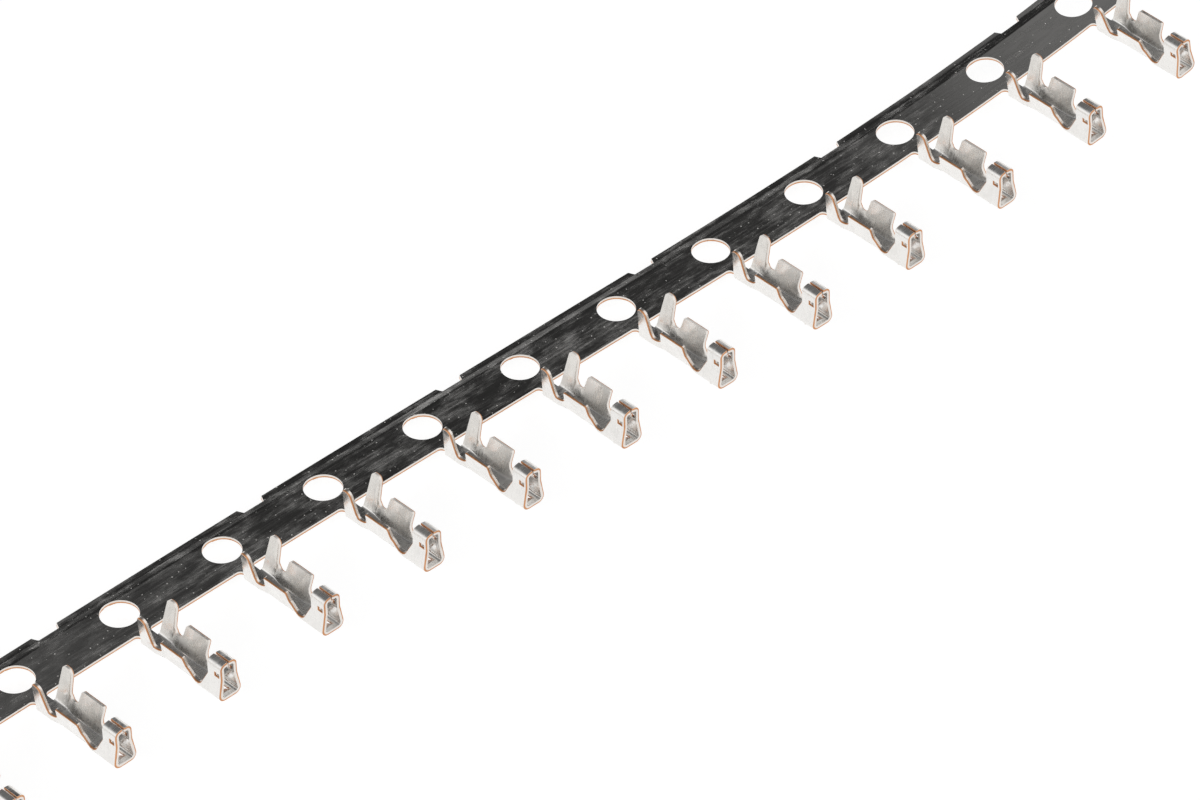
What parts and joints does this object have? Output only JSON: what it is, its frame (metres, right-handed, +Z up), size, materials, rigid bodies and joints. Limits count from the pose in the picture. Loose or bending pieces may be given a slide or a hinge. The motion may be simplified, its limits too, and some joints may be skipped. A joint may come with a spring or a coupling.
{
  "type": "female crimp terminal strip",
  "caption": "Strip of stamped and folded female crimp terminals on a carrier with pilot holes; each has an insulation barrel, a conductor barrel and a box socket with a locking lance",
  "frame": {"origin": "centre of the middle pilot hole, on the underside of the carrier", "axes": "+X along the strip towards its curled end, -Y towards the sockets' mouths, +Z up through the barrels' open side"},
  "size_m": [0.0649, 0.0075, 0.0039],
  "materials": {
    "tin_plated_bronze": "bright tin plating on phosphor bronze sheet, with bare bronze on the sheared edges"
  },
  "bodies": {
    "root": {"terminal_strip": "tin_plated_bronze"}
  },
  "joints": []
}
